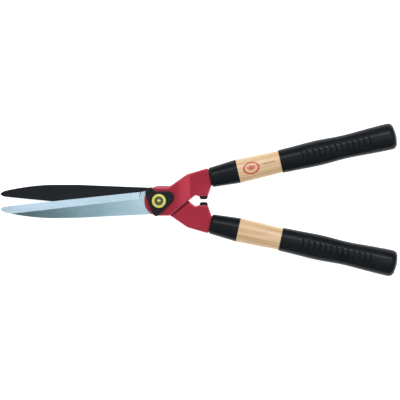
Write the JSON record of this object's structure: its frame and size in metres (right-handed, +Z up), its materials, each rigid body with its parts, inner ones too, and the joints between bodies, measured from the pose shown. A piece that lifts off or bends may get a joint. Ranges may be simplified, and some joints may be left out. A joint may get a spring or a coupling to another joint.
{
  "type": "hedge shears",
  "caption": "Long-handled hedge shears with straight blades, forged steel arms, wooden handles with rubber grips, and an adjustable bolted pivot.",
  "frame": {"origin": "on the pivot's axis, at the flat end of the pivot bolt, on the surface the shears lie on", "axes": "blades point to -X, handles to +X, +Y towards the front half's handle, +Z up, out of the pivot cover"},
  "size_m": [0.5757, 0.2208, 0.0338],
  "materials": {
    "red_steel": "semi-gloss crimson paint on forged steel, edges worn",
    "ground_steel": "ground and polished blade steel",
    "coated_steel": "black low-friction blade coating, satin",
    "handle_wood": "clear-lacquered pale ash",
    "grip_rubber": "moulded black grip, satin",
    "ferrule_plastic": "moulded black ferrule, satin",
    "bumper_rubber": "matt black rubber",
    "cover_plastic": "moulded black cover, satin",
    "badge_plastic": "yellow disc with a plain printed ring and leaf",
    "fastener_steel": "zinc plated",
    "rivet_steel": "plain steel rivets",
    "spring_steel": "dark spring steel",
    "bush_bronze": "sintered bronze",
    "shim_plastic": "pale low-friction plastic",
    "insert_plastic": "blue nylon locking ring"
  },
  "bodies": {
    "back_half": {"back_arm": "red_steel", "back_bumper": "bumper_rubber", "back_ferrule": "ferrule_plastic", "back_handle_wood": "handle_wood", "back_handle_pin": "fastener_steel", "back_grip": "grip_rubber", "back_blade_rivets": "rivet_steel", "back_blade": "coated_steel", "pivot_bush": "bush_bronze", "blade_shim": "shim_plastic"},
    "front_half": {"front_arm": "red_steel", "front_bumper": "bumper_rubber", "front_ferrule": "ferrule_plastic", "front_handle_wood": "handle_wood", "front_handle_pin": "fastener_steel", "front_grip": "grip_rubber", "front_blade_rivets": "rivet_steel", "front_blade": "ground_steel", "pivot_bolt": "fastener_steel", "pivot_washer": "fastener_steel", "disc_spring": "spring_steel", "pivot_nut": "fastener_steel", "nut_insert": "insert_plastic", "pivot_cover": "cover_plastic", "cover_badge": "badge_plastic"}
  },
  "joints": [
    {"name": "pivot_hinge", "type": "hinge", "parent": "back_half", "child": "front_half", "pos_m": [0, 0, 0.0169], "axis": [0, 0, 1], "range_deg": [-3.3, 75]}
  ]
}
